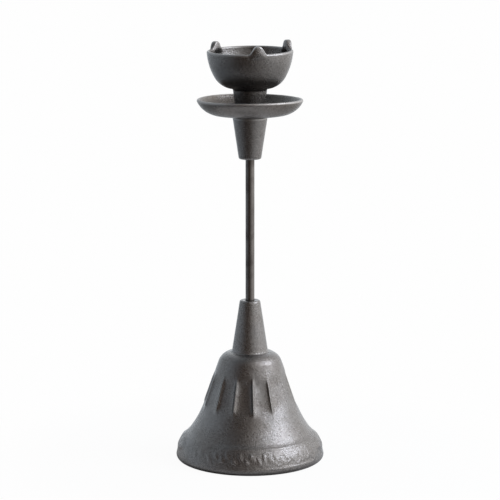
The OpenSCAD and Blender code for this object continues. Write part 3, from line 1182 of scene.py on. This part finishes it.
@dataclass
class Studio:
    """White floor, soft light from the right and the photograph's camera."""

    floor_r: float = 0.24
    floor_white: str = "#fefefe"
    floor_glow: float = 0.96
    camera_place: tuple[float, float, float] = (0.0, -1.5, 0.42718)
    camera_pitch: float = 10.408
    lens: float = 154.5
    lamp_turn: float = 78.0
    lamp_rise: float = 37.0
    lamp_distance: float = 1.2
    lamp_size: float = 0.55
    lamp_power: float = 8.4
    lamp_colour: str = "#e8f0ff"
    peak: float = 4.0
    zenith_from: float = 50.0
    zenith_to: float = 76.0
    zenith_share: float = 0.35
    high_from: float = -8.0
    high_to: float = 46.0
    low_share: float = 0.36
    low_stops: tuple[tuple[float, str, float], ...] = (
        (-180, "#f4faff", 1.35),
        (-150, "#ecf6ff", 0.95),
        (-95, "#e8f4ff", 1.0),
        (-60, "#ecf2fc", 0.55),
        (-30, "#ffd6b4", 0.14),
        (0, "#ffcfa8", 0.14),
        (12, "#fff8f2", 0.5),
        (40, "#ffffff", 1.25),
        (72, "#ffffff", 2.0),
        (130, "#ffffff", 1.75),
        (155, "#fdfdff", 1.3),
        (180, "#f4faff", 1.35),
    )
    high_stops: tuple[tuple[float, str, float], ...] = (
        (-180, "#f4faff", 1.35),
        (-140, "#ecf6ff", 0.85),
        (-95, "#e8f4ff", 0.66),
        (-60, "#ecf2fc", 0.4),
        (-34, "#ffd6b4", 0.13),
        (0, "#ffcfa8", 0.13),
        (10, "#fff8f2", 0.85),
        (30, "#ffffff", 1.75),
        (74, "#ffffff", 2.2),
        (95, "#ffffff", 2.25),
        (120, "#ffffff", 1.75),
        (155, "#fdfdff", 1.2),
        (180, "#f4faff", 1.35),
    )

    def light_world(self) -> None:
        """Makes the tent of soft light: bright at the right, dim at the left, dark in front."""
        world = bpy.data.worlds.new("studio_tent")
        bpy.context.scene.world = world
        world.use_nodes = True
        tree = world.node_tree
        tree.nodes.clear()
        way = add_node(tree, "ShaderNodeTexCoord").outputs["Generated"]
        parts = add_node(tree, "ShaderNodeSeparateXYZ", {0: way})
        front = add_node(
            tree, "ShaderNodeMath", {0: parts.outputs["Y"], 1: -1.0}, operation="MULTIPLY"
        ).outputs[0]
        turn = add_node(
            tree, "ShaderNodeMath", {0: parts.outputs["X"], 1: front}, operation="ARCTAN2"
        ).outputs[0]
        share = add_node(
            tree, "ShaderNodeMapRange", {"Value": turn, "From Min": -math.pi, "From Max": math.pi}
        ).outputs["Result"]
        rise = add_node(
            tree, "ShaderNodeMath", {0: parts.outputs["Z"]}, operation="ARCSINE"
        ).outputs[0]
        ramps = []
        for stops in (self.low_stops, self.high_stops):
            ramp = add_node(tree, "ShaderNodeValToRGB", {"Fac": share})
            set_stops(ramp, [(0.5 + a / 360, linear(c, s / self.peak)) for a, c, s in stops])
            ramps.append(ramp.outputs[0])
        height = add_node(
            tree, "ShaderNodeMapRange",
            {"Value": rise, "From Min": math.radians(self.high_from),
             "From Max": math.radians(self.high_to)},
        ).outputs["Result"]
        mixed = add_node(
            tree, "ShaderNodeMix", {"Factor": height, 6: ramps[0], 7: ramps[1]}, data_type="RGBA"
        ).outputs[2]
        strength = add_node(
            tree, "ShaderNodeMapRange",
            {"Value": rise, "From Min": math.radians(-30), "From Max": 0.0,
             "To Min": self.peak * self.low_share, "To Max": self.peak},
        ).outputs["Result"]
        zenith = add_node(
            tree, "ShaderNodeMapRange",
            {"Value": rise, "From Min": math.radians(self.zenith_from), "From Max": math.radians(self.zenith_to),
             "To Min": 1.0, "To Max": self.zenith_share},
        ).outputs["Result"]
        power = add_node(
            tree, "ShaderNodeMath", {0: strength, 1: zenith}, operation="MULTIPLY"
        ).outputs[0]
        tent = add_node(tree, "ShaderNodeBackground", {"Color": mixed, "Strength": power})
        white = add_node(tree, "ShaderNodeBackground", {"Color": linear(self.floor_white)})
        path = add_node(tree, "ShaderNodeLightPath")
        seen = add_node(
            tree, "ShaderNodeMixShader",
            {0: path.outputs["Is Camera Ray"], 1: tent.outputs[0], 2: white.outputs[0]},
        )
        add_node(tree, "ShaderNodeOutputWorld", {"Surface": seen.outputs[0]})

    def make_floor(self) -> None:
        """Makes the round white floor, which glows for the camera but keeps the shadow."""
        mesh = bmesh.new()
        bmesh.ops.create_circle(mesh, cap_ends=True, segments=96, radius=self.floor_r)
        data = bpy.data.meshes.new("floor")
        mesh.to_mesh(data)
        mesh.free()
        material, tree = new_material("white_card")
        card = add_node(tree, "ShaderNodeBsdfDiffuse", {"Color": linear("#d8d8d8")})
        glow = add_node(tree, "ShaderNodeEmission", {"Color": linear(self.floor_white)})
        path = add_node(tree, "ShaderNodeLightPath")
        place = add_node(tree, "ShaderNodeTexCoord").outputs["Object"]
        reach = add_node(tree, "ShaderNodeVectorMath", {0: place}, operation="LENGTH").outputs["Value"]
        share = add_node(
            tree, "ShaderNodeMapRange",
            {"Value": reach, "From Min": self.floor_r * 0.55, "From Max": self.floor_r * 0.9,
             "To Min": self.floor_glow, "To Max": 1.0},
            interpolation_type="SMOOTHSTEP",
        ).outputs["Result"]
        amount = add_node(
            tree, "ShaderNodeMath", {0: path.outputs["Is Camera Ray"], 1: share},
            operation="MULTIPLY",
        )
        mixed = add_node(
            tree, "ShaderNodeMixShader",
            {0: amount.outputs[0], 1: card.outputs[0], 2: glow.outputs[0]},
        )
        add_node(tree, "ShaderNodeOutputMaterial", {"Surface": mixed.outputs[0]})
        data.materials.append(material)
        floor = bpy.data.objects.new("floor", data)
        bpy.context.scene.collection.objects.link(floor)

    def hang_lamp(self) -> None:
        """Hangs the soft lamp high at the right, aimed at the bell."""
        turn, rise = math.radians(self.lamp_turn), math.radians(self.lamp_rise)
        back = Vector((math.sin(turn) * math.cos(rise), -math.cos(turn) * math.cos(rise), math.sin(rise)))
        light = bpy.data.lights.new("soft_lamp", "AREA")
        light.size = self.lamp_size
        light.energy = self.lamp_power
        light.color = linear(self.lamp_colour)[:3]
        lamp = bpy.data.objects.new("soft_lamp", light)
        lamp.location = back * self.lamp_distance + Vector((0.0, 0.0, 0.1))
        lamp.rotation_euler = back.to_track_quat("Z", "Y").to_euler()
        bpy.context.scene.collection.objects.link(lamp)

    def place_camera(self) -> None:
        """Places the camera in front, a little above the cup and looking slightly down."""
        data = bpy.data.cameras.new("camera")
        data.lens = self.lens
        camera = bpy.data.objects.new("camera", data)
        camera.location = self.camera_place
        camera.rotation_euler = (math.radians(90 - self.camera_pitch), 0.0, 0.0)
        bpy.context.scene.collection.objects.link(camera)
        bpy.context.scene.camera = camera

    def build(self) -> None:
        """Sets up floor, light, camera and the plain view transform."""
        self.light_world()
        self.make_floor()
        self.hang_lamp()
        self.place_camera()
        bpy.context.scene.view_settings.view_transform = "Standard"


def main() -> None:
    """Builds the pieces in order, then the studio."""
    logging.basicConfig(level=logging.INFO, format="%(message)s")
    iron = CastIron("waxed_cast_iron").material()
    pan_iron = CastIron("worn_cast_iron", skin="#7a7673", brown="#69625b").material()
    steel = DrawnSteel("browned_drawn_steel").material()
    zinc = DullZinc("dull_zinc_plate").material()
    Bell().build(iron)
    Stem().build(steel, zinc)
    Collar().build(iron)
    Pan().build(pan_iron)
    Cup().build(iron)
    Studio().build()


if __name__ == "__main__":
    main()
